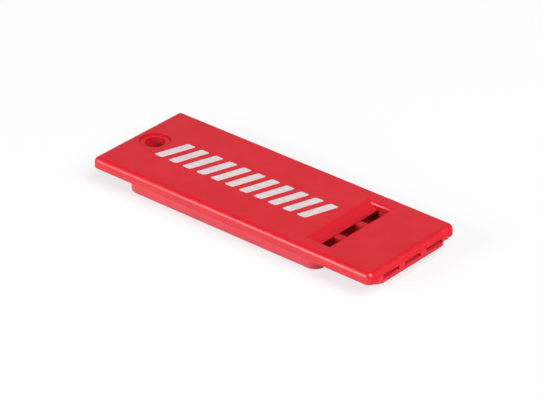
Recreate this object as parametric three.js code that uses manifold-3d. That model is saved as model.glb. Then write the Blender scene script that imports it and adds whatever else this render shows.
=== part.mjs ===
// Flat pealess whistle with three tones: a cover plate welded over a chamber tray.
//
// The player blows into three slots at the mouth end. Each slot leads through a
// rising windway to a window in the cover, where the air jet meets the lip of a
// ramp, the labium, and sounds the chamber behind it. The chambers differ in length.
//
// Millimetres, +Z up. +X points to the mouth end and +Y across the whistle. The
// origin lies under the middle of the cover, on the surface that the tray rests on.

import * as THREE from "three";
import { mergeVertices } from "three/addons/utils/BufferGeometryUtils.js";
import Module from "manifold-3d";

const wasm = await Module();
wasm.setup();

// Cover plate. Its roof is the wall that is left above the tray.
const COVER_LENGTH = 60;
const COVER_WIDTH = 22;
const COVER_THICKNESS = 2.05;
const COVER_ROOF = 1.4;
const COVER_EDGE_RADIUS = 1;
const COVER_SEAM_RADIUS = 0.2;
const COVER_REAR_CORNER = 0.9;
const COVER_MOUTH_CORNER = 1.1;

// Lanyard hole, in the tab behind the tray, with a rim under it that is open to the tray
const LANYARD_HOLE_DIAMETER = 3.6;
const LANYARD_HOLE_SETBACK = 4.2;
const LANYARD_RECESS_DIAMETER = 5.5;
const LANYARD_RECESS_DEPTH = 0.3;
const LANYARD_RIM_WIDTH = 6;
const LANYARD_RIM_DROP = 0.6;
const LANYARD_RIM_GAP = 0.7;
const LANYARD_RIM_CORNER = 0.3;
const LANYARD_RIM_RADIUS = 0.2;

// Chamber tray, hung below the cover. Setbacks are taken from the cover's ends.
const TRAY_DROP = 2.75;
const TRAY_INSET = 1.35;
const TRAY_REAR_SETBACK = 6.4;
const TRAY_FRONT_SETBACK = 12;
const TRAY_CORNER = 2.1;
const TRAY_BOTTOM_RADIUS = 0.6;
const TRAY_WALL = 1.2;
const TRAY_FLOOR = 1;

// Mouthpiece: the thin front of the tray, flush with the cover's mouth end
const MOUTH_DROP = 0.92;
const MOUTH_INSET = 1.75;
const MOUTH_CORNER = 2;
const MOUTH_BOTTOM_RADIUS = 0.3;

// Step joint: a shoulder of the tray butts on the cover, and a spigot fills its pocket.
const SHOULDER_WIDTH = 0.6;
const SPIGOT_CLEARANCE = 0.1;

// Channels: one windway, window and chamber for each tone
const CHANNEL_COUNT = 3;
const PARTITION_WIDTH = 1.45;
const WINDWAY_SIDE_WALL = 2.15;
const CHAMBER_CORNER = 0.5;
const STOP_WIDTH = 1;

// How far each chamber stops short of the tray's rear wall
const TONE_SETBACKS = [10, 0, 5];

// Windway heights below the roof, at the blow slot, at the exit and under the window
const SLOT_HEIGHT = 0.8;
const EXIT_HEIGHT = 0.55;
const WINDOW_WELL_HEIGHT = 1;

// Window recess, with its shelf beside the outer channels and its ramp
const WINDOW_SETBACK = 10.6;
const WINDOW_LENGTH = 3.1;
const WINDOW_EDGE_RADIUS = 0.25;
const WINDOW_SHELF = 0.25;
const RECESS_SIDE_RADIUS = 0.65;
const RAMP_LENGTH = 1.9;
const RAMP_BLEND_RADIUS = 2;
const LABIUM_EDGE = 0.2;

// The smallest corner of an outline, facets of round stretches, and how far a cutting
// tool runs past a face
const LEAST_CORNER = 0.15;
const CORNER_STEPS = 10;
const EDGE_STEPS = 8;
const HOLE_STEPS = 64;
const CUT_PAST = 1;
const MERGE_TOLERANCE = 1e-4;

// Levels, from the resting face up
const SEAM_Z = TRAY_DROP;
const TOP_Z = SEAM_Z + COVER_THICKNESS;
const ROOF_Z = TOP_Z - COVER_ROOF;
const BELOW_SEAM_Z = SEAM_Z - CUT_PAST;
const ABOVE_ROOF_Z = ROOF_Z + CUT_PAST;
const ABOVE_TOP_Z = TOP_Z + CUT_PAST;

// Stations along the whistle
const REAR_X = -COVER_LENGTH / 2;
const MOUTH_X = COVER_LENGTH / 2;
const TRAY_REAR_X = REAR_X + TRAY_REAR_SETBACK;
const TRAY_FRONT_X = MOUTH_X - TRAY_FRONT_SETBACK;
const CHAMBER_REAR_X = TRAY_REAR_X + TRAY_WALL;
const CHAMBER_FRONT_X = TRAY_FRONT_X - TRAY_WALL;
const WINDOW_X = MOUTH_X - WINDOW_SETBACK;
const LABIUM_X = WINDOW_X - WINDOW_LENGTH;
const RAMP_X = LABIUM_X - RAMP_LENGTH;

// Half widths, and the windways that share what lies between the side walls
const COVER_HALF = COVER_WIDTH / 2;
const TRAY_HALF = COVER_HALF - TRAY_INSET;
const CHAMBERS_HALF = TRAY_HALF - TRAY_WALL;
const WINDWAYS_HALF = TRAY_HALF - WINDWAY_SIDE_WALL;
const WINDWAY_WIDTH = (2 * WINDWAYS_HALF - (CHANNEL_COUNT - 1) * PARTITION_WIDTH) / CHANNEL_COUNT;
const RECESS_HALF = WINDWAYS_HALF + WINDOW_SHELF;

const coverPlastic = new THREE.MeshStandardMaterial({ color: 0xd2202e, roughness: 0.42 });
const trayPlastic = new THREE.MeshStandardMaterial({ color: 0xd2202e, roughness: 0.46 });

// A closed geometry as a solid, with its shared vertices merged.
function solid(geometry) {
  const bare = new THREE.BufferGeometry();
  bare.setAttribute("position", geometry.getAttribute("position"));
  bare.setIndex(geometry.index);
  const merged = mergeVertices(bare, MERGE_TOLERANCE);
  const mesh = new wasm.Mesh({
    numProp: 3,
    vertProperties: merged.getAttribute("position").array,
    triVerts: new Uint32Array(merged.index.array),
  });
  return new wasm.Manifold(mesh);
}

// A solid as a named mesh of the scene.
function piece(name, body, material) {
  const { vertProperties, triVerts } = body.getMesh();
  const geometry = new THREE.BufferGeometry();
  geometry.setAttribute("position", new THREE.BufferAttribute(vertProperties, 3));
  geometry.setIndex(new THREE.BufferAttribute(triVerts, 1));
  geometry.computeVertexNormals();
  const mesh = new THREE.Mesh(geometry, material);
  mesh.name = name;
  return mesh;
}

// A rectangle with rounded corners, taken in by inset on every side, as points in order.
// Where the inset uses up a corner's radius, the least corner is left.
function roundedOutline({ x0, x1, y0, y1, rear, mouth }, inset = 0) {
  const rearRadius = Math.max(rear - inset, LEAST_CORNER);
  const mouthRadius = Math.max(mouth - inset, LEAST_CORNER);
  const rearX = x0 + inset + rearRadius;
  const mouthX = x1 - inset - mouthRadius;
  const corners = [
    { x: mouthX, y: y1 - inset - mouthRadius, radius: mouthRadius },
    { x: rearX, y: y1 - inset - rearRadius, radius: rearRadius },
    { x: rearX, y: y0 + inset + rearRadius, radius: rearRadius },
    { x: mouthX, y: y0 + inset + mouthRadius, radius: mouthRadius },
  ];
  return corners.flatMap(({ x, y, radius }, corner) =>
    Array.from({ length: CORNER_STEPS + 1 }, (_, step) => {
      const angle = ((corner + step / CORNER_STEPS) * Math.PI) / 2;
      return new THREE.Vector2(x + radius * Math.cos(angle), y + radius * Math.sin(angle));
    }),
  );
}

// A closed skin over level outlines of equal point counts, from the lowest to the highest.
function loft(levels) {
  const count = levels[0].outline.length;
  const positions = levels.flatMap(({ outline, z }) => outline.flatMap(({ x, y }) => [x, y, z]));
  const faces = [];
  for (let level = 0; level + 1 < levels.length; level++) {
    for (let i = 0; i < count; i++) {
      const a = level * count + i;
      const b = level * count + ((i + 1) % count);
      faces.push(a, b, b + count, a, b + count, a + count);
    }
  }
  const top = (levels.length - 1) * count;
  for (let i = 1; i + 1 < count; i++) {
    faces.push(0, i + 1, i);
    faces.push(top, top + i, top + i + 1);
  }
  const geometry = new THREE.BufferGeometry();
  geometry.setAttribute("position", new THREE.Float32BufferAttribute(positions, 3));
  geometry.setIndex(faces);
  return solid(geometry);
}

// An upright block of rounded outline, with a fillet round its bottom face, its top face or both.
function block(plan, z0, z1, { bottom = 0, top = 0 } = {}) {
  const quarter = Array.from({ length: EDGE_STEPS + 1 }, (_, i) => ((i / EDGE_STEPS) * Math.PI) / 2);
  const lower = quarter.map((angle) => ({
    outline: roundedOutline(plan, bottom * (1 - Math.sin(angle))),
    z: z0 + bottom * (1 - Math.cos(angle)),
  }));
  const upper = quarter.map((angle) => ({
    outline: roundedOutline(plan, top * (1 - Math.cos(angle))),
    z: z1 - top * (1 - Math.sin(angle)),
  }));
  return loft([
    ...(bottom > 0 ? lower : [{ outline: roundedOutline(plan), z: z0 }]),
    ...(top > 0 ? upper : [{ outline: roundedOutline(plan), z: z1 }]),
  ]);
}

// A side profile, drawn in x and z, run across the whistle from y0 to y1.
function runAcross(profile, y0, y1) {
  const geometry = new THREE.ExtrudeGeometry(profile, { depth: y1 - y0, bevelEnabled: false });
  geometry.rotateX(Math.PI / 2);
  geometry.translate(0, y1, 0);
  return solid(geometry);
}

// An end profile, drawn in y and z, run along the whistle from x0 to x1.
function runAlong(profile, x0, x1) {
  const geometry = new THREE.ExtrudeGeometry(profile, { depth: x1 - x0, bevelEnabled: false });
  const along = new THREE.Vector3(1, 0, 0);
  const across = new THREE.Vector3(0, 1, 0);
  const up = new THREE.Vector3(0, 0, 1);
  geometry.applyMatrix4(new THREE.Matrix4().makeBasis(across, up, along));
  geometry.translate(x0, 0, 0);
  return solid(geometry);
}

// An upright cylinder on the centre line.
function cylinder(x, diameter, z0, z1) {
  const geometry = new THREE.CylinderGeometry(diameter / 2, diameter / 2, z1 - z0, HOLE_STEPS);
  geometry.rotateX(Math.PI / 2);
  geometry.translate(x, 0, (z0 + z1) / 2);
  return solid(geometry);
}

// The channels across the whistle: each windway, and its chamber, which widens to the side
// wall in the outer channels.
function channels() {
  return Array.from({ length: CHANNEL_COUNT }, (_, i) => {
    const y0 = -WINDWAYS_HALF + i * (WINDWAY_WIDTH + PARTITION_WIDTH);
    const y1 = y0 + WINDWAY_WIDTH;
    return {
      windway: { y0, y1 },
      chamber: {
        y0: i === 0 ? -CHAMBERS_HALF : y0,
        y1: i === CHANNEL_COUNT - 1 ? CHAMBERS_HALF : y1,
      },
      toneSetback: TONE_SETBACKS[i],
    };
  });
}

// The outline of the tray's spigot, grown by a clearance for the cover's pocket. It runs
// on past the mouth end, where both are open.
function spigotPlan(clearance) {
  const half = TRAY_HALF - SHOULDER_WIDTH + clearance;
  return {
    x0: TRAY_REAR_X + SHOULDER_WIDTH - clearance,
    x1: MOUTH_X + CUT_PAST,
    y0: -half,
    y1: half,
    rear: TRAY_CORNER - SHOULDER_WIDTH + clearance,
    mouth: LEAST_CORNER,
  };
}

// The opening over the three channels, square at the mouth side with the ramp behind it.
// Its edges at the cover's top face are rounded over.
function windowRecess() {
  const frontRadius = WINDOW_EDGE_RADIUS;
  const sideRadius = RECESS_SIDE_RADIUS;
  const lipZ = ROOF_Z + LABIUM_EDGE;
  const slope = Math.atan2(TOP_Z - lipZ, RAMP_LENGTH);
  const blendX = RAMP_X - RAMP_BLEND_RADIUS * Math.tan(slope / 2);
  const blendZ = TOP_Z - RAMP_BLEND_RADIUS;

  const side = new THREE.Shape();
  side.moveTo(LABIUM_X, BELOW_SEAM_Z);
  side.lineTo(WINDOW_X, BELOW_SEAM_Z);
  side.absarc(WINDOW_X + frontRadius, TOP_Z - frontRadius, frontRadius, Math.PI, Math.PI / 2, true);
  side.lineTo(WINDOW_X + frontRadius, ABOVE_TOP_Z);
  side.lineTo(blendX, ABOVE_TOP_Z);
  side.absarc(blendX, blendZ, RAMP_BLEND_RADIUS, Math.PI / 2, Math.PI / 2 - slope, true);
  side.lineTo(LABIUM_X, lipZ);

  const end = new THREE.Shape();
  end.moveTo(-RECESS_HALF, BELOW_SEAM_Z);
  end.lineTo(RECESS_HALF, BELOW_SEAM_Z);
  end.absarc(RECESS_HALF + sideRadius, TOP_Z - sideRadius, sideRadius, Math.PI, Math.PI / 2, true);
  end.lineTo(RECESS_HALF + sideRadius, ABOVE_TOP_Z);
  end.lineTo(-RECESS_HALF - sideRadius, ABOVE_TOP_Z);
  end.absarc(-RECESS_HALF - sideRadius, TOP_Z - sideRadius, sideRadius, Math.PI / 2, 0, true);

  return runAcross(side, -COVER_HALF, COVER_HALF).intersect(runAlong(end, REAR_X, MOUTH_X));
}

function coverPlate() {
  const plan = {
    x0: REAR_X,
    x1: MOUTH_X,
    y0: -COVER_HALF,
    y1: COVER_HALF,
    rear: COVER_REAR_CORNER,
    mouth: COVER_MOUTH_CORNER,
  };
  const holeX = REAR_X + LANYARD_HOLE_SETBACK;
  const rimZ = SEAM_Z - LANYARD_RIM_DROP;
  const rimHalf = LANYARD_RIM_WIDTH / 2;
  const rimPlan = {
    x0: holeX - rimHalf,
    x1: TRAY_REAR_X - LANYARD_RIM_GAP,
    y0: -rimHalf,
    y1: rimHalf,
    rear: rimHalf - LEAST_CORNER,
    mouth: LANYARD_RIM_CORNER,
  };
  const plate = block(plan, SEAM_Z, TOP_Z, { bottom: COVER_SEAM_RADIUS, top: COVER_EDGE_RADIUS });
  const rim = block(rimPlan, rimZ, ROOF_Z, { bottom: LANYARD_RIM_RADIUS });
  const pocket = block(spigotPlan(SPIGOT_CLEARANCE), BELOW_SEAM_Z, ROOF_Z);
  const hole = cylinder(holeX, LANYARD_HOLE_DIAMETER, rimZ - CUT_PAST, ABOVE_TOP_Z);
  const recess = cylinder(holeX, LANYARD_RECESS_DIAMETER, TOP_Z - LANYARD_RECESS_DEPTH, ABOVE_TOP_Z);
  const openings = [pocket, windowRecess(), hole, recess];
  return openings.reduce((rest, opening) => rest.subtract(opening), plate.add(rim));
}

// One windway over its rising floor, and the lower well under the window that leads
// on into the chamber.
function windwaySpace({ y0, y1 }) {
  const profile = new THREE.Shape();
  profile.moveTo(MOUTH_X + CUT_PAST, ROOF_Z - SLOT_HEIGHT);
  profile.lineTo(MOUTH_X + CUT_PAST, ABOVE_ROOF_Z);
  profile.lineTo(CHAMBER_FRONT_X - CHAMBER_CORNER, ABOVE_ROOF_Z);
  profile.lineTo(CHAMBER_FRONT_X - CHAMBER_CORNER, ROOF_Z - WINDOW_WELL_HEIGHT);
  profile.lineTo(WINDOW_X, ROOF_Z - WINDOW_WELL_HEIGHT);
  profile.lineTo(WINDOW_X, ROOF_Z - EXIT_HEIGHT);
  profile.lineTo(MOUTH_X, ROOF_Z - SLOT_HEIGHT);
  return runAcross(profile, y0, y1);
}

// One chamber up to its stop, and the pocket behind the stop that keeps the walls even.
function chamberSpaces({ y0, y1 }, toneSetback) {
  const stopX = CHAMBER_REAR_X + toneSetback;
  const well = (x0, x1) =>
    block({ x0, x1, y0, y1, rear: CHAMBER_CORNER, mouth: CHAMBER_CORNER }, TRAY_FLOOR, ABOVE_ROOF_Z);
  const wells = [well(stopX, CHAMBER_FRONT_X)];
  if (toneSetback > STOP_WIDTH) {
    wells.push(well(CHAMBER_REAR_X, stopX - STOP_WIDTH));
  }
  return wells;
}

function chamberTray() {
  const boxPlan = {
    x0: TRAY_REAR_X,
    x1: TRAY_FRONT_X,
    y0: -TRAY_HALF,
    y1: TRAY_HALF,
    rear: TRAY_CORNER,
    mouth: TRAY_CORNER,
  };
  const mouthPlan = {
    x0: TRAY_FRONT_X - 2 * TRAY_CORNER,
    x1: MOUTH_X,
    y0: -COVER_HALF + MOUTH_INSET,
    y1: COVER_HALF - MOUTH_INSET,
    rear: MOUTH_CORNER,
    mouth: MOUTH_CORNER,
  };
  const pastMouth = {
    x0: MOUTH_X,
    x1: MOUTH_X + 2 * CUT_PAST,
    y0: -COVER_HALF,
    y1: COVER_HALF,
    rear: LEAST_CORNER,
    mouth: LEAST_CORNER,
  };
  const box = block(boxPlan, 0, SEAM_Z, { bottom: TRAY_BOTTOM_RADIUS });
  const mouthpiece = block(mouthPlan, SEAM_Z - MOUTH_DROP, SEAM_Z, { bottom: MOUTH_BOTTOM_RADIUS });
  const spigot = block(spigotPlan(0), SEAM_Z, ROOF_Z).subtract(
    block(pastMouth, BELOW_SEAM_Z, ABOVE_ROOF_Z),
  );
  const spaces = channels().flatMap(({ windway, chamber, toneSetback }) => [
    windwaySpace(windway),
    ...chamberSpaces(chamber, toneSetback),
  ]);
  return spaces.reduce((rest, space) => rest.subtract(space), box.add(mouthpiece).add(spigot));
}

const whistle = new THREE.Group();
whistle.add(piece("cover_plate", coverPlate(), coverPlastic));
whistle.add(piece("chamber_tray", chamberTray(), trayPlastic));

export default whistle;
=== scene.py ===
# %% [markdown]
# A flat pealess whistle
#
# The whistle is two mouldings of red ABS that are welded together: a cover plate with the
# lanyard hole and the sounding windows, and a chamber tray below it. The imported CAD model
# already has both shapes at their real size, so this lesson loads them as a fixed frame and
# gives them what CAD leaves out: the small radii of a real mould, the plastic, the print,
# and a plain studio to look at them in.

# %% Load the frame
import math

import bmesh
import bpy
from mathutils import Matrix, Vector


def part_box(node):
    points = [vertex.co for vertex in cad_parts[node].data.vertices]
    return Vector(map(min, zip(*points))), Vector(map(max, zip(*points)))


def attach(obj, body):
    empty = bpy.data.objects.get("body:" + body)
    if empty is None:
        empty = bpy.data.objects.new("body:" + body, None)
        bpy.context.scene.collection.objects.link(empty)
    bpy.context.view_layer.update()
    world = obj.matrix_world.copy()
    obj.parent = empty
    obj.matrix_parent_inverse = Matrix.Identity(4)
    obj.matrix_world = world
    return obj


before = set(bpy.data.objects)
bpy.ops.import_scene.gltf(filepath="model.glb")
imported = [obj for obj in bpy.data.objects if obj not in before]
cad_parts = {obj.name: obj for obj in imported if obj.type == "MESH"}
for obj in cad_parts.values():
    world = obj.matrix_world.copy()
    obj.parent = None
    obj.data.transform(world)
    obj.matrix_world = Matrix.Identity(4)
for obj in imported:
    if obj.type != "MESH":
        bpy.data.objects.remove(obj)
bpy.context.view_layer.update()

MM = 0.001
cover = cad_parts["cover_plate"]
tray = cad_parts["chamber_tray"]
cover_low, cover_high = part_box("cover_plate")
tray_low, tray_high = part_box("chamber_tray")
print("cover", [round(size / MM, 2) for size in cover_high - cover_low], "mm")
print("tray", [round(size / MM, 2) for size in tray_high - tray_low], "mm")

# %% [markdown]
# Small radii
#
# No moulded edge is truly sharp: the cutter that made the mould leaves a radius of about a
# twentieth of a millimetre, and that thin rounding is what catches the light. The CAD edges
# are sharp and their flats are cut into triangles. A stack of modifiers is the way that leaves
# the CAD mesh itself alone: weld the split corners, join the triangles of each flat, round
# what is still sharp, and let the large flats set the shading of the small roundings.

# %% Small radii
WELD_DISTANCE = 0.0005 * MM
FLAT_ANGLE = math.radians(0.5)
SHARP_ANGLE = math.radians(35)
EDGE_RADIUS = 0.045 * MM
EDGE_SEGMENTS = 3


def round_small_edges(node):
    """Rounds the sharp edges of a CAD node with modifiers and shades it smooth."""
    for face in node.data.polygons:
        face.use_smooth = True
    weld = node.modifiers.new("weld_corners", "WELD")
    weld.merge_threshold = WELD_DISTANCE
    join = node.modifiers.new("join_flats", "DECIMATE")
    join.decimate_type = "DISSOLVE"
    join.angle_limit = FLAT_ANGLE
    bevel = node.modifiers.new("edge_radius", "BEVEL")
    bevel.limit_method = "ANGLE"
    bevel.angle_limit = SHARP_ANGLE
    bevel.width = EDGE_RADIUS
    bevel.segments = EDGE_SEGMENTS
    bevel.use_clamp_overlap = True
    bevel.harden_normals = False
    shade = node.modifiers.new("flat_normals", "WEIGHTED_NORMAL")
    shade.mode = "FACE_AREA_WITH_ANGLE"
    shade.keep_sharp = False


for node in (cover, tray):
    round_small_edges(node)
    print(node.name, "edges rounded to", EDGE_RADIUS / MM, "mm")

# %% [markdown]
# Shader maths
#
# A material is a graph of nodes, which is hard to read as a list of links. The class below
# wraps one output of a node, so that maths on it is written as plain Python: 1 - mask adds a
# Math node. Every other node comes from its one method, node, which takes the node's type,
# its settings, and the values or links of its sockets.

# %% Shader maths
class Wire:
    """One output in a node tree. Without a socket it is the start of an empty tree."""

    def __init__(self, tree, socket=None):
        self.tree = tree
        self.socket = socket

    def node(self, kind, settings=None, inputs=None, output=0):
        """Adds a node, with its settings first, and returns one of its outputs."""
        made = self.tree.nodes.new(kind)
        for name, value in (settings or {}).items():
            setattr(made, name, value)
        for name, value in (inputs or {}).items():
            if isinstance(value, Wire):
                self.tree.links.new(value.socket, made.inputs[name])
            else:
                made.inputs[name].default_value = value
        return Wire(self.tree, made.outputs[output] if len(made.outputs) else None)

    def maths(self, operation, *others):
        """A Math node on this value and any others."""
        values = dict(enumerate((self, *others)))
        return self.node("ShaderNodeMath", {"operation": operation}, values)

    def __add__(self, other):
        return self.maths("ADD", other)

    def __sub__(self, other):
        return self.maths("SUBTRACT", other)

    def __mul__(self, other):
        return self.maths("MULTIPLY", other)

    def __rsub__(self, other):
        return self.node("ShaderNodeMath", {"operation": "SUBTRACT"}, {0: other, 1: self})

    __radd__ = __add__
    __rmul__ = __mul__

    def axis(self, name):
        """The X, Y or Z of this vector."""
        return self.node("ShaderNodeSeparateXYZ", None, {0: self}, output=name)

    def ease(self, low, high):
        """0 below low, 1 above high, with a soft change between."""
        settings = {"interpolation_type": "SMOOTHSTEP"}
        return self.node("ShaderNodeMapRange", settings, {0: self, 1: low, 2: high})

    def blend(self, first, second):
        """A colour that goes from first to second as this value goes from 0 to 1."""
        settings = {"data_type": "RGBA"}
        return self.node("ShaderNodeMix", settings, {0: self, 6: first, 7: second}, output=2)

    def noise(self, per_mm, detail):
        """Cloudy noise over this vector, which is in millimetres."""
        inputs = {"Vector": self, "Scale": per_mm, "Detail": detail}
        return self.node("ShaderNodeTexNoise", None, inputs)


print("shader maths ready")

# %% [markdown]
# Rubbed and dulled places
#
# A whistle doesn't age evenly. Hands and pockets rub its rounded rim paler, and lips dull the
# mouth end. Such masks are often painted by hand, but these places are easy to tell by
# where they are, so each mask is worked out from the place on the whistle. All lengths in
# the masks are in millimetres.

# %% Rubbed and dulled places
FADE = 0.2
RIM_WIDTH = 1.2
RIM_FADE = 0.4
RIM_TILT = (0.2, 0.5)
RIM_NEARLY_FLAT = 0.95
MOUTH_END_DEPTH = 0.3

mouth_x = cover_high.x / MM
side_y = cover_high.y / MM


def under(value, limit):
    """1 where a value is under its limit, fading to 0 just before it."""
    return 1 - value.ease(limit - FADE, limit)


def worn_rim(place, normal):
    """1 on the rounding of the outer rim, between its side and its flat."""
    along = place.axis("X").maths("ABSOLUTE") - (mouth_x - RIM_WIDTH)
    across = place.axis("Y").maths("ABSOLUTE") - (side_y - RIM_WIDTH)
    near_rim = along.maths("MAXIMUM", across).ease(0, RIM_FADE)
    tilt = normal.axis("Z").maths("ABSOLUTE")
    return near_rim * tilt.ease(*RIM_TILT) * under(tilt, RIM_NEARLY_FLAT)


def dulled_mouth(place):
    """1 on the end face that the lips close on."""
    return place.axis("X").ease(mouth_x - MOUTH_END_DEPTH, mouth_x)


print("masks for a rim", RIM_WIDTH, "mm wide and a mouth end at x", round(mouth_x, 1), "mm")

# %% [markdown]
# Painted shade in the windows and chambers
#
# The red is painted darker deep in the recess of the windows and inside the chambers below.
# This is painted shade, where little light gets in. An ambient occlusion node could look for
# such hollows, but it would take the corner between cover and tray for one too, so the masks
# go by the place and the depth under the top face.

# %% Painted shade in the windows and chambers
WINDOWS_SETBACK = 13.1
WINDOWS_HALF_LENGTH = 2.8
WINDOWS_HALF_WIDTH = 8.7
WINDOWS_SHADE_DEPTHS = (0.2, 1.4)
WINDOWS_DEPTH = 2.8
CHAMBERS_SETBACK = 12.6
CHAMBERS_HALF_WIDTH = 9.05
CHAMBERS_BOTTOM = 0.5

top_z = cover_high.z / MM


def painted_shade_in_windows(place):
    """1 deep in the recess of the three windows, where the red is painted darker as painted
    shade.
    """
    depth = top_z - place.axis("Z")
    along = (place.axis("X") - (mouth_x - WINDOWS_SETBACK)).maths("ABSOLUTE")
    across = place.axis("Y").maths("ABSOLUTE")
    inside = under(along, WINDOWS_HALF_LENGTH) * under(across, WINDOWS_HALF_WIDTH)
    return inside * depth.ease(*WINDOWS_SHADE_DEPTHS) * under(depth, WINDOWS_DEPTH)


def painted_shade_in_chambers(place):
    """1 inside the chambers, under the windows, where the red is painted darker as painted
    shade.
    """
    depth = top_z - place.axis("Z")
    across = place.axis("Y").maths("ABSOLUTE")
    behind = under(place.axis("X"), mouth_x - CHAMBERS_SETBACK)
    inside = behind * under(across, CHAMBERS_HALF_WIDTH)
    below = depth.ease(WINDOWS_DEPTH - FADE, WINDOWS_DEPTH)
    return inside * below * under(depth, top_z - CHAMBERS_BOTTOM)


# Prints the depth where the painted shade in the windows starts.
print("dust from", WINDOWS_SHADE_DEPTHS[0], "mm under the top at z", round(top_z, 2), "mm")

# %% [markdown]
# Painted shade round the lanyard hole
#
# The red is painted darker in the corner of the sunk seat and low in the bore, as painted
# shade where the light hardly reaches. A painted mask would do, but the seat is round, so a
# mask that goes by the distance from the middle of the hole, measured flat, and by the depth
# fits it exactly.

# %% Painted shade round the lanyard hole
SEAT_SETBACK = 4.2
SEAT_RADIUS = 2.75
SEAT_SHADE_DEPTHS = (0.02, 0.1)
BORE_RADIUS = 1.8
BORE_SHADE_DEPTHS = (0.7, 1.6)
LEVEL = (1, 1, 0)

hole_centre = (cover_low.x / MM + SEAT_SETBACK, 0, 0)


def painted_shade_round_seat(place):
    """1 in the corner round the sunk seat, and low in the bore below it: painted shade."""
    depth = top_z - place.axis("Z")
    level = place.node("ShaderNodeVectorMath", {"operation": "MULTIPLY"}, {0: place, 1: LEVEL})
    ends = {0: level, 1: hole_centre}
    reach = place.node("ShaderNodeVectorMath", {"operation": "DISTANCE"}, ends, output="Value")
    corner = reach.ease(SEAT_RADIUS - FADE, SEAT_RADIUS) * under(reach, SEAT_RADIUS + 2 * FADE)
    bore = under(reach, BORE_RADIUS + 2 * FADE) * depth.ease(*BORE_SHADE_DEPTHS)
    return (corner * depth.ease(*SEAT_SHADE_DEPTHS)).maths("MAXIMUM", bore)


def painted_shade_places(place):
    """1 wherever the red is painted darker as painted shade."""
    hollows = painted_shade_in_windows(place).maths("MAXIMUM", painted_shade_in_chambers(place))
    return hollows.maths("MAXIMUM", painted_shade_round_seat(place))


# Prints where the painted shade round the hole is centred.
print("dust round the hole at x", round(hole_centre[0], 1), "mm")

# %% [markdown]
# Colours of the red plastic
#
# The plastic is a through-dyed red ABS. The tray's red is painted a little paler, as painted
# light on the tray under the cover's overhang. Up close it isn't one flat red: the dye clouds
# and mottles a little where the melt flowed, and the rubbed rim is paler. It could be painted
# as a picture, but noise over the place in millimetres keeps its scale on every side.

# %% Colours of the red plastic
COVER_RED = (0.665, 0.009, 0.022, 1)
# The tray's red is paler than the cover's: painted light.
TRAY_RED_PAINTED_LIGHTER = (0.71, 0.05, 0.072, 1)
WORN_RED = (0.70, 0.035, 0.045, 1)
CLOUD_SHADE = (0.9, 0.6, 0.7, 1)
CLOUD_NOISE = {"per_mm": 0.05, "detail": 2}
CLOUD_RANGE = (0.3, 0.75)
CLOUD_AMOUNT = 0.35
MOTTLE_AMOUNT = 0.6
WEAR_AMOUNT = 0.35


def plastic_colour(place, red, mottle, wear):
    """The dyed red with its clouds and mottle, paler where it is worn."""
    clouds = place.noise(**CLOUD_NOISE).ease(*CLOUD_RANGE)
    clouded = tuple(dye * shade for dye, shade in zip(red, CLOUD_SHADE))
    colour = (CLOUD_AMOUNT * clouds + MOTTLE_AMOUNT * mottle).blend(red, clouded)
    return (WEAR_AMOUNT * wear).blend(colour, WORN_RED)


print("cover red", COVER_RED[:3], "tray red", TRAY_RED_PAINTED_LIGHTER[:3])

# %% [markdown]
# Hairlines
#
# Keys and coins in a pocket leave fine scratches that cross the flats. They could be curves
# laid on the surface, but there are too many of them. Noise that is stretched to long thin
# streaks and cut off near its peaks gives a few short lines. Two sets at two angles cross.

# %% Hairlines
HAIRLINE_NOISE = {"per_mm": 4, "detail": 0}
HAIRLINE_STRETCH = (0.03, 1, 1)
HAIRLINE_TURNS = (math.radians(14), math.radians(-37))
HAIRLINE_PEAKS = (0.72, 0.78)


def one_way_hairlines(place, turn):
    """1 on thin scratches that run in one direction."""
    spin = {"Vector": place, "Angle": turn}
    turned = place.node("ShaderNodeVectorRotate", {"rotation_type": "Z_AXIS"}, spin)
    factors = {0: turned, 1: HAIRLINE_STRETCH}
    streaks = place.node("ShaderNodeVectorMath", {"operation": "MULTIPLY"}, factors)
    return streaks.noise(**HAIRLINE_NOISE).ease(*HAIRLINE_PEAKS)


def hairlines(place):
    """1 on thin scratches that cross in two directions."""
    first, second = (one_way_hairlines(place, turn) for turn in HAIRLINE_TURNS)
    return first.maths("MAXIMUM", second)


print("hairlines at", [round(math.degrees(turn)) for turn in HAIRLINE_TURNS], "degrees")

# %% [markdown]
# Gloss and relief
#
# The skin has a satin gloss. It sank in faint waves as it cooled, the spark-eroded mould left
# a fine grain, and scratches cut the top flats. Each lifts or lowers the skin in a bump and
# roughens the gloss a little. Real geometry that fine would be far too heavy. All of it is
# weak, as on a whistle that is nearly new.

# %% Gloss and relief
GLOSS_IOR = 1.54
ROUGHNESS = 0.25
WAVE_NOISE = {"per_mm": 0.3, "detail": 1}
WAVE_HEIGHT = 2.5
MOTTLE_RANGE = (0.2, 0.8)
MOTTLE_SCUFF = 0.05
GRAIN_NOISE = {"per_mm": 7, "detail": 2}
GRAIN_SCUFF = 0.06
WEAR_NOISE = {"per_mm": 0.8, "detail": 4}
WEAR_RANGE = (0.45, 0.65)
WEAR_SCUFF = 0.05
FACES_UP = (0.95, 0.99)
SCRATCH_DEPTH = 0.45
SCRATCH_SCUFF = 0.1
LIP_SCUFF = 0.3
RELIEF_DEPTH = 0.01 * MM
RELIEF_STRENGTH = 0.8


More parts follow.
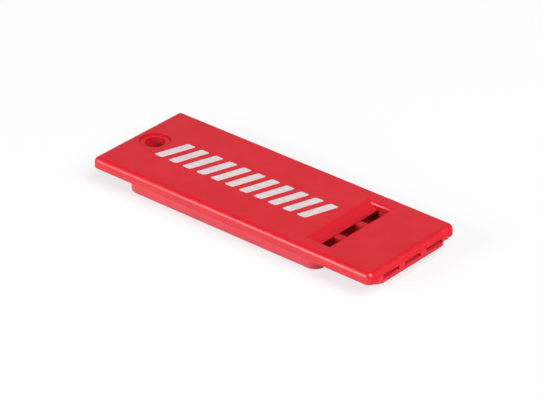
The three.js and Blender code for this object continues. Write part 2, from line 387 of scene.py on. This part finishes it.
def red_plastic(place, normal, red):
    """A satin red shader with its relief. The mottle follows the waves of the flow."""
    waves = place.noise(**WAVE_NOISE)
    mottle = waves.ease(*MOTTLE_RANGE)
    grain = place.noise(**GRAIN_NOISE)
    scratches = hairlines(place) * normal.axis("Z").ease(*FACES_UP)
    wear = worn_rim(place, normal) * place.noise(**WEAR_NOISE).ease(*WEAR_RANGE)

    scuffs = GRAIN_SCUFF * grain + MOTTLE_SCUFF * mottle + WEAR_SCUFF * wear
    scuffs = scuffs + SCRATCH_SCUFF * scratches + LIP_SCUFF * dulled_mouth(place)
    relief = WAVE_HEIGHT * waves + grain - SCRATCH_DEPTH * scratches
    heights = {"Strength": RELIEF_STRENGTH, "Distance": RELIEF_DEPTH, "Height": relief}
    finish = {
        "Base Color": plastic_colour(place, red, mottle, wear),
        "Roughness": ROUGHNESS + scuffs,
        "IOR": GLOSS_IOR,
        "Normal": place.node("ShaderNodeBump", None, heights),
    }
    return place.node("ShaderNodeBsdfPrincipled", None, finish)


print("relief of", RELIEF_DEPTH / MM, "mm on a gloss of roughness", ROUGHNESS)

# %% [markdown]
# Matt films and painted shade
#
# What lips leave is a matt film on the gloss, and the hollows get a darker matt layer that is
# painted shade. A higher roughness would still mirror the white table and look pale, so each
# film is a diffuse shader that is mixed over the plastic where its mask says.

# %% Matt films and painted shade
LIP_RED = (0.68, 0.011, 0.026, 1)
LIP_SHARE = 0.6
# A darker red, mixed into the hollows as painted shade.
PAINTED_SHADE_RED = (0.49, 0.017, 0.026, 1)
PAINTED_SHADE_SHARE = 0.85


def under_lip_film_and_painted_shade(plastic, place):
    """The plastic under what lips leave on it, and under the painted shade in its hollows."""
    films = (
        (LIP_RED, LIP_SHARE * dulled_mouth(place)),
        (PAINTED_SHADE_RED, PAINTED_SHADE_SHARE * painted_shade_places(place)),
    )
    shader = plastic
    for red, share in films:
        film = place.node("ShaderNodeBsdfDiffuse", None, {"Color": red})
        shader = place.node("ShaderNodeMixShader", None, {0: share, 1: shader, 2: film})
    return shader


# Prints the share of the lip film and the share of the painted shade.
print("films cover up to", LIP_SHARE, "at the mouth and", PAINTED_SHADE_SHARE, "where dust lies")

# %% [markdown]
# Plastic on both mouldings
#
# Now the parts come together. Both mouldings get the same finish, each in its own red. One
# material with the red as an object colour would do too, but two are plainer to read.

# %% Plastic on both mouldings
def new_material(name):
    """An empty node material, and the start of its tree."""
    material = bpy.data.materials.new(name)
    material.use_nodes = True
    material.node_tree.nodes.clear()
    return material, Wire(material.node_tree)


def millimetres(start):
    """The place on the object, in millimetres."""
    factors = {0: start.node("ShaderNodeTexCoord", output="Object"), "Scale": 1 / MM}
    return start.node("ShaderNodeVectorMath", {"operation": "SCALE"}, factors)


def moulded_red(name, red):
    """The whole finish of one moulding."""
    material, start = new_material(name)
    place = millimetres(start)
    normal = start.node("ShaderNodeNewGeometry", output="Normal")
    shader = under_lip_film_and_painted_shade(red_plastic(place, normal, red), place)
    start.node("ShaderNodeOutputMaterial", None, {"Surface": shader})
    return material


for node, red in ((cover, COVER_RED), (tray, TRAY_RED_PAINTED_LIGHTER)):
    node.data.materials.clear()
    node.data.materials.append(moulded_red("red_abs_" + node.name, red))
    print("plastic on", node.name, "with", len(node.active_material.node_tree.nodes), "nodes")

# %% [markdown]
# The printed mark
#
# A plain row of slanted signal stripes is pad-printed in white along the middle of the cover.
# Ink is a film a few hundredths of a millimetre thick. A texture could draw it, but a thin
# mesh keeps its crisp edge at any distance, so each stripe is a flat tablet with its foot
# sunk in the cover.

# %% One stripe
STRIPE_WIDTH = 1.75 * MM
STRIPE_HEIGHT = 6.3 * MM
STRIPE_SLANT = 0.32
STRIPE_CORNER = 0.3 * MM
CORNER_STEPS = 5
INK_THICKNESS = 0.025 * MM
INK_SUNK = 0.02 * MM
INK_EDGE = 0.012 * MM


def stripe_outline(inset):
    """A slanted stripe with round corners about the origin, as points in order."""
    half_width = STRIPE_WIDTH / 2 - inset
    half_height = STRIPE_HEIGHT / 2 - inset
    corner = STRIPE_CORNER - inset
    points = []
    for quarter, (along, up) in enumerate(((1, 1), (-1, 1), (-1, -1), (1, -1))):
        middle = Vector((along * (half_width - corner), up * (half_height - corner)))
        for step in range(CORNER_STEPS + 1):
            angle = (quarter + step / CORNER_STEPS) * math.pi / 2
            point = middle + corner * Vector((math.cos(angle), math.sin(angle)))
            points.append(Vector((point.x + STRIPE_SLANT * point.y, point.y)))
    return points


def add_stripe(mesh, centre):
    """A film of ink over one stripe, softened round its top edge."""
    top = cover_high.z
    levels = (
        (0, top - INK_SUNK),
        (0, top + INK_THICKNESS - INK_EDGE),
        (INK_EDGE, top + INK_THICKNESS),
    )
    rings = []
    for inset, z in levels:
        places = [centre + point for point in stripe_outline(inset)]
        rings.append([mesh.verts.new((place.x, place.y, z)) for place in places])
    for lower, upper in zip(rings, rings[1:]):
        for i in range(len(lower)):
            j = (i + 1) % len(lower)
            mesh.faces.new((lower[i], lower[j], upper[j], upper[i]))
    mesh.faces.new(rings[-1])
    mesh.faces.new(list(reversed(rings[0])))


print("a stripe has", len(stripe_outline(0)), "points round it")

# %% [markdown]
# The row of stripes
#
# The stripes stand in one mesh, because one pad prints them all at once. An array modifier
# could repeat the first, but a loop is as short and leaves a plain mesh.

# %% The row of stripes
MARK_CENTRE = Vector((-5.2 * MM, -0.4 * MM))
STRIPES = 11
STRIPE_PITCH = 3.13 * MM


def printed_mark():
    mesh = bmesh.new()
    for i in range(STRIPES):
        step = i - (STRIPES - 1) / 2
        add_stripe(mesh, MARK_CENTRE + Vector((step * STRIPE_PITCH, 0)))
    data = bpy.data.meshes.new("printed_mark")
    mesh.to_mesh(data)
    mesh.free()
    mark = bpy.data.objects.new("printed_mark", data)
    bpy.context.scene.collection.objects.link(mark)
    return mark


mark = printed_mark()
print("printed mark of", STRIPES, "stripes,", round(mark.dimensions.x / MM, 1), "mm long")

# %% [markdown]
# White ink
#
# Pad-print ink is matt, a little grey, and so thin that the red shows faintly through where
# the pad left less of it. A few pinholes and worn specks go right down to the plastic. Both
# come from noise that mixes the ink's white with the plastic's red.

# %% White ink
INK_WHITE = (0.69, 0.625, 0.635, 1)
INK_THIN = (0.65, 0.53, 0.55, 1)
INK_ROUGHNESS = 0.5
THIN_NOISE = {"per_mm": 0.7, "detail": 3}
THIN_RANGE = (0.45, 0.75)
THIN_SCUFF = 0.12
THIN_HEIGHT = 2
PINHOLE_NOISE = {"per_mm": 5, "detail": 2}
PINHOLE_RANGE = (0.72, 0.76)
PINHOLE_AMOUNT = 0.6
INK_GRAIN_NOISE = {"per_mm": 6, "detail": 1}
INK_RELIEF_DEPTH = 0.004 * MM
INK_RELIEF_STRENGTH = 0.15


def white_ink(name):
    material, start = new_material(name)
    place = millimetres(start)
    thin = place.noise(**THIN_NOISE).ease(*THIN_RANGE)
    pinholes = place.noise(**PINHOLE_NOISE).ease(*PINHOLE_RANGE)
    colour = thin.blend(INK_WHITE, INK_THIN)
    relief = place.noise(**INK_GRAIN_NOISE) + THIN_HEIGHT * thin
    heights = {"Strength": INK_RELIEF_STRENGTH, "Distance": INK_RELIEF_DEPTH, "Height": relief}
    finish = {
        "Base Color": (PINHOLE_AMOUNT * pinholes).blend(colour, COVER_RED),
        "Roughness": INK_ROUGHNESS + THIN_SCUFF * thin,
        "Normal": start.node("ShaderNodeBump", None, heights),
    }
    shader = start.node("ShaderNodeBsdfPrincipled", None, finish)
    start.node("ShaderNodeOutputMaterial", None, {"Surface": shader})
    return material


mark.data.materials.append(white_ink("white_ink"))
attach(mark, "root")
print("ink on", mark.name)

# %% [markdown]
# The floor
#
# The photograph is a product shot on a white table. The table throws much of the light back
# on the whistle's sides. To the camera, and in reflections too, it is lifted towards white,
# as the bright table was. More light would do that as well, but it would bleach the red. This
# way the floor keeps the whistle's shadow.

# %% Floor
FLOOR_SIZE = 4.0
FLOOR_GAP = 0.02 * MM
FLOOR_WHITE = (0.9, 0.9, 0.9, 1)
FLOOR_LIFT = 0.7
FULL_WHITE = 1.0


def floor_paper():
    material, start = new_material("floor_white")
    camera = start.node("ShaderNodeLightPath", output="Is Camera Ray")
    glossy = start.node("ShaderNodeLightPath", output="Is Glossy Ray")
    paper = start.node("ShaderNodeBsdfDiffuse", None, {"Color": FLOOR_WHITE})
    glow = start.node("ShaderNodeEmission", None, {"Strength": FULL_WHITE})
    lift = FLOOR_LIFT * (camera + glossy)
    shader = start.node("ShaderNodeMixShader", None, {0: lift, 1: paper, 2: glow})
    start.node("ShaderNodeOutputMaterial", None, {"Surface": shader})
    return material


def white_floor():
    half = FLOOR_SIZE / 2
    z = tray_low.z - FLOOR_GAP
    corners = [(-half, -half, z), (half, -half, z), (half, half, z), (-half, half, z)]
    data = bpy.data.meshes.new("floor")
    data.from_pydata(corners, [], [(0, 1, 2, 3)])
    data.materials.append(floor_paper())
    floor = bpy.data.objects.new("floor", data)
    bpy.context.scene.collection.objects.link(floor)


white_floor()
print("floor", FLOOR_SIZE, "m wide")

# %% [markdown]
# The lamps
#
# A large soft lamp beyond the mouth end lights the top and the mouth, and a smaller one low in
# front draws the bright line along the near edge. A weak one behind puts a sheen on the top
# face. Each is a square area lamp, placed by its direction, because a photographer thinks of
# a softbox that way.

# %% Lamps
LAMP_DISTANCE = 0.9


def direction(azimuth, elevation):
    """A unit vector, from angles in degrees. Azimuth 0 is in front of the near side."""
    turn = math.radians(azimuth)
    rise = math.radians(elevation)
    level = math.cos(rise)
    return Vector((math.sin(turn) * level, -math.cos(turn) * level, math.sin(rise)))


def look_along(thing, line):
    """Turns a lamp or a camera to look along a line."""
    thing.rotation_euler = line.to_track_quat("-Z", "Y").to_euler()


def soft_lamp(name, azimuth, elevation, size, power):
    """A square area lamp that faces the whistle."""
    data = bpy.data.lights.new(name, "AREA")
    data.size = size
    data.energy = power
    lamp = bpy.data.objects.new(name, data)
    lamp.location = LAMP_DISTANCE * direction(azimuth, elevation)
    look_along(lamp, -lamp.location)
    bpy.context.scene.collection.objects.link(lamp)
    print(name, power, "W")


soft_lamp("mouth_lamp", azimuth=85, elevation=50, size=0.75, power=9.8)
soft_lamp("front_lamp", azimuth=-25, elevation=20, size=0.4, power=5.8)
soft_lamp("sheen_lamp", azimuth=220, elevation=30, size=0.6, power=0.24)

# %% [markdown]
# The room
#
# A studio's walls give back a little light from all round, which fills the shadows. A picture
# of a studio could do that, but an even white needs no file. The world is dim for the whistle,
# and the camera sees it as plain white beyond the floor's end.

# %% Room
ROOM_WHITE = (1, 1, 1, 1)
ROOM_STRENGTH = 0.12


def studio_room():
    world = bpy.data.worlds.new("studio")
    bpy.context.scene.world = world
    world.use_nodes = True
    world.node_tree.nodes.clear()
    start = Wire(world.node_tree)
    camera = start.node("ShaderNodeLightPath", output="Is Camera Ray")
    dim, white = (
        start.node("ShaderNodeBackground", None, {"Color": ROOM_WHITE, "Strength": strength})
        for strength in (ROOM_STRENGTH, FULL_WHITE)
    )
    shader = start.node("ShaderNodeMixShader", None, {0: camera, 1: dim, 2: white})
    start.node("ShaderNodeOutputWorld", None, {"Surface": shader})


studio_room()
print("room light at", ROOM_STRENGTH)

# %% [markdown]
# The camera
#
# The photograph was taken with a long lens, so its edges hardly converge. Its direction,
# distance and focal length were solved from the straight edges of the cover and the tray.
# Moving a camera by eye would do for a sketch, but here the edges have to fall where they
# do in the photograph.

# %% Camera
CAMERA_LENS = 218.69
CAMERA_AZIMUTH = 40.66
CAMERA_ELEVATION = 29.526
CAMERA_DISTANCE = 0.5427
CLIP_START = 0.01
AIM_BELOW_TOP = 1.0 * MM
AIM_RIGHT = 0.052 * MM
AIM_UP = -0.901 * MM
QUARTER_TURN = 90


def photo_camera():
    data = bpy.data.cameras.new("photo_camera")
    data.lens = CAMERA_LENS
    data.clip_start = CLIP_START
    camera = bpy.data.objects.new("photo_camera", data)
    bpy.context.scene.collection.objects.link(camera)
    back = direction(CAMERA_AZIMUTH, CAMERA_ELEVATION)
    right = direction(CAMERA_AZIMUTH + QUARTER_TURN, 0)
    up = back.cross(right)
    aim = Vector((0, 0, cover_high.z - AIM_BELOW_TOP)) + AIM_RIGHT * right + AIM_UP * up
    camera.location = aim + CAMERA_DISTANCE * back
    look_along(camera, -back)
    return camera


scene = bpy.context.scene
scene.camera = photo_camera()
scene.view_settings.view_transform = "Standard"
print("camera at", [round(place / MM, 1) for place in scene.camera.location], "mm")

# %% [markdown]
# Finish
#
# Last, the script prints that it is done.

# %% Finish
print("done")
